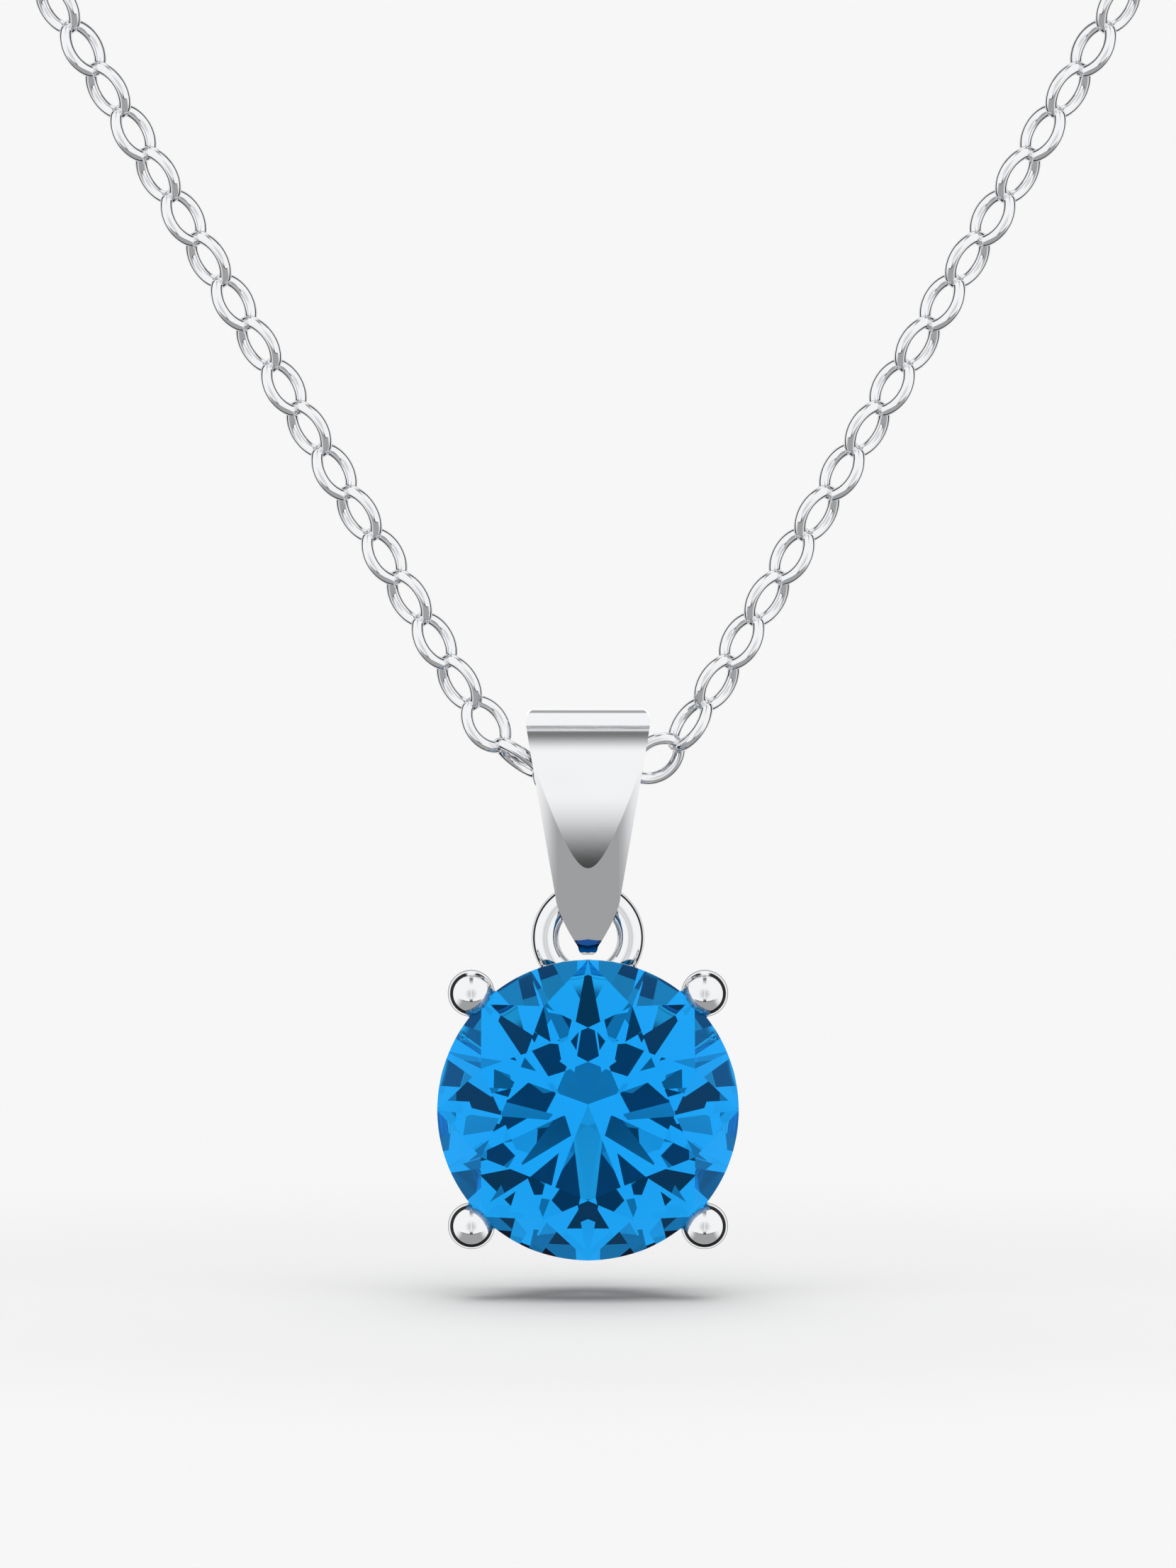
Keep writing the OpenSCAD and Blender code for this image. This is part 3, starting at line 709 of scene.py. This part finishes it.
RAIL_R, RAIL_W, RAIL_H = 2.0, 0.7, 0.7
CULET_COVER = 0.2                 # the lower rail reaches this far behind the stone's point
base_back = culet_z - CULET_COVER
foot_z = base_back + RAIL_H / 2
reach, rise = BALL_OUT - RAIL_R, -BALL_SINK - foot_z
for name, angle in (("upper_right", 45), ("upper_left", 135), ("lower_left", 225), ("lower_right", 315)):
    bpy.ops.mesh.primitive_uv_sphere_add(segments=96, ring_count=48, radius=BALL_R * mm,
                                         location=Vector((BALL_OUT, 0, -BALL_SINK)) * mm)
    prong = baked(added(f"prong_{name}_piece"))
    bpy.ops.mesh.primitive_cylinder_add(
        vertices=48, radius=PRONG_R * mm, depth=math.hypot(reach, rise) * mm,
        location=Vector(((BALL_OUT + RAIL_R) / 2, 0, (foot_z - BALL_SINK) / 2)) * mm,
        rotation=(0, math.atan2(reach, rise), 0))
    wire = baked(added("prong_wire"))
    modified(wire, "BEVEL", width=PRONG_EDGE * mm, segments=3, limit_method="ANGLE", angle_limit=D(50))
    cut(prong, wire, "UNION")
    cut(prong, seat_tool())
    prong.rotation_euler = (0, 0, D(angle))
    baked(prong)
    smooth(prong, 35)
    in_setting(prong)
    finished(prong, silver, "pendant", "silver", f"prong_{name}")
    print(prong.name, len(prong.data.polygons), "faces")

# %% [markdown]
# ## Two gallery rails
# Turned rings that hold the four wires: one right under the girdle, sloped on its inside to
# seat the stone, and a smaller one at the back. Turning leaves their edges slightly rounded.

# %% Rails
SEAT_DROP, SEAT_ROOM, RIM_INSET = 0.275, 0.04, 0.15
UPPER_W, UPPER_H = 0.75, 0.8
seat_front = -GIRDLE - SEAT_DROP
seat_r = STONE_R - SEAT_DROP / tan(PAVILION) + SEAT_ROOM
rim_r = STONE_R - RIM_INSET
upper = lathed("upper_rail_piece", [(seat_r, seat_front), (rim_r, seat_front),
                                    (rim_r, seat_front - UPPER_H),
                                    (rim_r - UPPER_W, seat_front - UPPER_H)], 160)
lower = lathed("lower_rail_piece", [(RAIL_R - RAIL_W / 2, base_back), (RAIL_R + RAIL_W / 2, base_back),
                                    (RAIL_R + RAIL_W / 2, base_back + RAIL_H),
                                    (RAIL_R - RAIL_W / 2, base_back + RAIL_H)], 128)
for rail, node, width in ((upper, "upper_gallery_rail", 0.08), (lower, "lower_gallery_rail", 0.12)):
    modified(rail, "BEVEL", width=width * mm, segments=4, limit_method="ANGLE", angle_limit=D(35))
    smooth(rail, 35)
    in_setting(rail)
    finished(rail, silver, "pendant", "silver", node)

# %% [markdown]
# ## Pendant loop
# Round wire bent to a ring, its two ends soldered to the rail's rim. A real joint has a small fillet of solder where
# wire meets rim; here the ring is only cut back where it sinks into the rim, and no fillet is made.

# %% Loop
SOLDER_DEPTH = 0.25
bpy.ops.mesh.primitive_torus_add(major_radius=LOOP_R * mm, minor_radius=LOOP_WIRE / 2 * mm,
                                 major_segments=160, minor_segments=64)
loop = added("loop_wire")
loop.matrix_world = Matrix.Translation((0, 0, LOOP_Z * mm)) @ Matrix.Rotation(D(90), 4, "X")
baked(loop)
bpy.ops.mesh.primitive_cylinder_add(vertices=192, radius=(rim_r - SOLDER_DEPTH) * mm, depth=8 * mm,
                                    location=(0, 0, STONE_Z * mm), rotation=(D(90), 0, 0))
cut(loop, baked(added("rim_tool")))
smooth(loop, 35)
finished(loop, silver, "pendant", "silver", "pendant_loop")
print(loop.name, len(loop.data.polygons), "faces")

# %% [markdown]
# ## Bail
# A tapered sheet folded over the chain. From the side it is a teardrop, from the front a
# shield that narrows to a small round nose. Each leg is crowned from side to side lower down,
# and where that crown meets the smooth bend a U-shaped crease shows. A real one is bent and
# filed. Here it is cut from a block by its two outlines and a round cutter for each leg, because
# that keeps both outlines exact.

# %% Bail
LEG_START, LEG_END = 6, 15        # slope of the leg at its top and at the crease, in degrees
CREASE_RISE, CROWN_R, NOSE_Y = 2.465, 2.2, 0.36
END_R, END_RISE = 0.8, 0.85       # the blunt end of the side view
NOSE_R, CORNER_R = 0.26, 0.3
WAIST_RISE, SIDE_TAPER, NOSE_CURVE = 1.66, 0.17, 1.45
LOOP_GAP, EYE_EASE = 0.06, 0.03
BLOCK = 6                         # wider and deeper than the bail


def teardrop(top_r, top_z, low_r, low_z, steps):
    lean = math.degrees(math.asin((top_r - low_r) / (top_z - low_z)))
    return (arc((0, top_z), top_r, -lean, 180 + lean, steps)
            + arc((0, low_z), low_r, 180 + lean, 360 - lean, steps // 2))


def leg_side():
    """The bail's side view: the bend, two legs that bulge a little, and the blunt end."""
    top, low, low_z = D(LEG_START), D(LEG_END), BAIL_TIP + CREASE_RISE
    bulge = (BORE_Z - BAIL_R * math.sin(top) - low_z) / (math.sin(low) - math.sin(top))
    out, up = (bulge - BAIL_R) * math.cos(top), BORE_Z + (bulge - BAIL_R) * math.sin(top)
    depth = bulge * math.cos(low) - out
    return (arc((0, BORE_Z), BAIL_R, -LEG_START, 180 + LEG_START, 160)[:-1]
            + arc((out, up), bulge, 180 + LEG_START, 180 + LEG_END, 24)
            + arc((0, BAIL_TIP + END_RISE), END_R, 180 + LEG_END, 360 - LEG_END, 64)
            + arc((-out, up), bulge, 360 - LEG_END, 360 - LEG_START, 24)[:-1]), depth


def across(obj):
    """Stands an outline drawn in (depth, height) up across the bail."""
    obj.matrix_world = Matrix.Rotation(D(90), 4, "Z") @ Matrix.Rotation(D(90), 4, "X")
    return baked(obj)


def nose_half(t):
    return NOSE_R + (waist_half - NOSE_R) * (1 - t ** NOSE_CURVE)


waist_z, shoulder_z = BAIL_TIP + WAIST_RISE, BAIL_TOP - CORNER_R
nose_z = BAIL_TIP + NOSE_LIFT + NOSE_R
waist_half = BAIL_W / 2 - (shoulder_z - waist_z) * SIDE_TAPER
side_view, crease_y = leg_side()
bail = across(extruded("bail_piece", side_view, BLOCK))
right = [(nose_half(i / 24), waist_z - (waist_z - nose_z) * i / 24) for i in range(25)]
left = [(-x, z) for x, z in right[::-1]]
front = extruded("front_tool", arc((-BAIL_W / 2 + CORNER_R, shoulder_z), CORNER_R, 180, 90, 24)
                 + arc((BAIL_W / 2 - CORNER_R, shoulder_z), CORNER_R, 90, 0, 24)
                 + right + arc((0, nose_z), NOSE_R, 0, -180, 48)[1:-1] + left, BLOCK)
front.rotation_euler = (D(90), 0, 0)
cut(bail, baked(front), "INTERSECT")
lean = math.degrees(math.atan((crease_y - NOSE_Y) / CREASE_RISE))
for side in (-1, 1):
    bpy.ops.mesh.primitive_cylinder_add(vertices=256, radius=CROWN_R * mm, depth=30 * mm,
                                        location=(0, -side * CROWN_R * mm, 0))
    crown = baked(added("crown_tool"))
    crown.matrix_world = (Matrix.Translation(Vector((0, side * NOSE_Y, BAIL_TIP)) * mm)
                          @ Matrix.Rotation(D(-side * lean), 4, "X"))
    cut(bail, baked(crown), "INTERSECT")
eye_r = LOOP_WIRE / 2 + LOOP_GAP + EYE_EASE
eye_z = LOOP_Z + LOOP_R
cut(bail, across(extruded("bore_tool", teardrop(BORE_R, BORE_Z, eye_r, eye_z, 96), BLOCK)))
bpy.ops.mesh.primitive_torus_add(major_radius=LOOP_R * mm, minor_radius=(LOOP_WIRE / 2 + LOOP_GAP) * mm,
                                 major_segments=128, minor_segments=48)
room = added("loop_room")
room.matrix_world = Matrix.Translation((0, 0, LOOP_Z * mm)) @ Matrix.Rotation(D(90), 4, "X")
cut(bail, baked(room))
edited(bail, outward)
smooth(bail, 4)
finished(bail, silver, "bail", "silver", "bail")
print(bail.name, len(bail.data.polygons), "faces")

# %% [markdown]
# ## Clasp and ties
# A spring ring is a hollow case with a sliding bolt, worked by a thumb knob, and it closes on a
# plain end ring. These pieces are small and already round in the CAD, so they keep that shape
# and get their real materials.

# %% Materials for the CAD pieces
for node, look in (("left_jump_ring", silver), ("clasp_eye", silver), ("clasp_case", silver),
                   ("clasp_bolt", silver), ("clasp_knob", silver), ("clasp_end_ring", silver),
                   ("right_jump_ring", silver), ("clasp_spring", steel),
                   ("coil_tie_left", paper), ("coil_tie_right", paper)):
    obj = frame["nodes"][node]
    for slot in obj.material_slots:
        slot.material = look
    if not obj.material_slots:
        obj.data.materials.append(look)
print("clasp, rings and ties have their materials")

# %% [markdown]
# ## Stage
# A pale floor, a white surround and a few dark cards, as in a light tent: polished silver shows
# nothing but what stands around it, so the cards draw its edges. Light that has come through
# the stone sees a second, simpler surround, dark close to the front and greyer to the sides.
# That sets the dark and light facets further apart than the stone alone would. All of it belongs
# to the stage, and the necklace's own materials know nothing of it.
#
# Directions are measured from straight ahead of the necklace. `tilt` is the angle up or down as
# seen from the side, `away` the whole angle, and `aside` how far a direction leans to the left or
# right.

# %% Directions
world = bpy.data.worlds.new("light_tent")
world.use_nodes = True
scene.world = world
tree = world.node_tree
place = add(tree, "ShaderNodeTexCoord").outputs["Generated"]
x, y, z = add(tree, "ShaderNodeSeparateXYZ", [("Vector", place)]).outputs
aside = add(tree, "ShaderNodeMath", [(0, x)], operation="ABSOLUTE").outputs[0]
ahead = add(tree, "ShaderNodeMath", [(0, y), (1, -1.0)], operation="MULTIPLY").outputs[0]
slope = add(tree, "ShaderNodeMath", [(0, z), (1, ahead)], operation="ARCTAN2").outputs[0]
tilt = add(tree, "ShaderNodeMath", [(0, slope)], operation="DEGREES").outputs[0]
turn = add(tree, "ShaderNodeMath", [(0, ahead)], operation="ARCCOSINE").outputs[0]
away = add(tree, "ShaderNodeMath", [(0, turn)], operation="DEGREES").outputs[0]
print("directions ready")


# %% Cards
def card(*edges):
    """Covers what lies inside all of its edges. An edge is (measure, where the card is still
    open, where it is whole), with a soft change in between."""
    cover = 1.0
    for measure, still_open, whole in edges:
        edge = add(tree, "ShaderNodeMapRange",
                   [("Value", measure), ("From Min", still_open), ("From Max", whole)],
                   interpolation_type="SMOOTHSTEP").outputs["Result"]
        cover = add(tree, "ShaderNodeMath", [(0, cover), (1, edge)], operation="MULTIPLY").outputs[0]
    return cover


def dimmed(*cards):
    """White light with each card, given as (strength, cover), taken out of it."""
    left = 1.0
    for strength, cover in cards:
        passed = add(tree, "ShaderNodeMapRange",
                     [("Value", cover), ("To Min", 1.0), ("To Max", 1.0 - strength)]).outputs["Result"]
        left = add(tree, "ShaderNodeMath", [(0, left), (1, passed)], operation="MULTIPLY").outputs[0]
    return left


print("cards can be cut")

# %% Surround that silver shows
NARROW = (aside, 0.16, 0.08)
overhead = card((tilt, 40, 78), (tilt, 88, 81), NARROW)
low_card = card((tilt, -18, -34), (tilt, -39, -37), NARROW)
low_line = card((tilt, -39, -38), (tilt, -35, -36), (aside, 0.8, 0.6))
ground = card((tilt, -38, -39), (tilt, -125, -100), (aside, 0.95, 0.6))
top_gap = card((tilt, 60, 75), (aside, 0.3, 0.12))
whole_ring = card((away, 96, 98), (away, 128, 120))
ring = add(tree, "ShaderNodeMath", [(0, whole_ring), (1, dimmed((1.0, top_gap)))],
           operation="MULTIPLY").outputs[0]
outline = card((away, 136, 142), (away, 158, 150))
streak = card((away, 34, 6), (aside, 0.01, 0.06))
light = dimmed((0.8, overhead), (0.93, low_card), (0.9, low_line), (0.62, ground), (0.97, ring),
               (0.6, outline), (0.35, streak))
print("seven cards around the silver")

# %% Surround behind the stone
front_card, grey_band = card((away, 9.5, 8)), card((away, 18.5, 20), (away, 24.5, 23))
through = dimmed((0.92, front_card), (0.6, grey_band), (0.6, card((away, 44, 50))))
inside = add(tree, "ShaderNodeLightPath").outputs["Is Transmission Ray"]
tent = add(tree, "ShaderNodeMix", [("Factor", inside), (2, light), (3, through)]).outputs[0]
background = tree.nodes["Background"]
background.inputs["Strength"].default_value = 1.05
tree.links.new(tent, background.inputs["Color"])
print("surround ready")

# %% Floor and soft light
FLOOR_Z = -36.0
bpy.ops.mesh.primitive_plane_add(size=4, location=(0, 0, FLOOR_Z * mm))
floor = baked(added("floor"))
floor_look, tree, shader = material("pale_floor", Base_Color=linear("#A0A0A0"), Roughness=0.9)
floor.data.materials.append(floor_look)
floor.visible_glossy = floor.visible_transmission = False
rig.stage(floor)
lamp_data = bpy.data.lights.new("soft_top_light", "SUN")
lamp_data.angle, lamp_data.energy = D(60), 5.9
lamp = bpy.data.objects.new("soft_top_light", lamp_data)
lamp.location = (0, 0, 0.1)
lamp.visible_glossy = lamp.visible_transmission = False
scene.collection.objects.link(lamp)
print("stage ready")

# %% Sizes and end
with open("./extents.json", "w") as f:
    json.dump({"cad": [list(v) for v in cad_box], "visual": [list(v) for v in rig.bounds()]}, f)
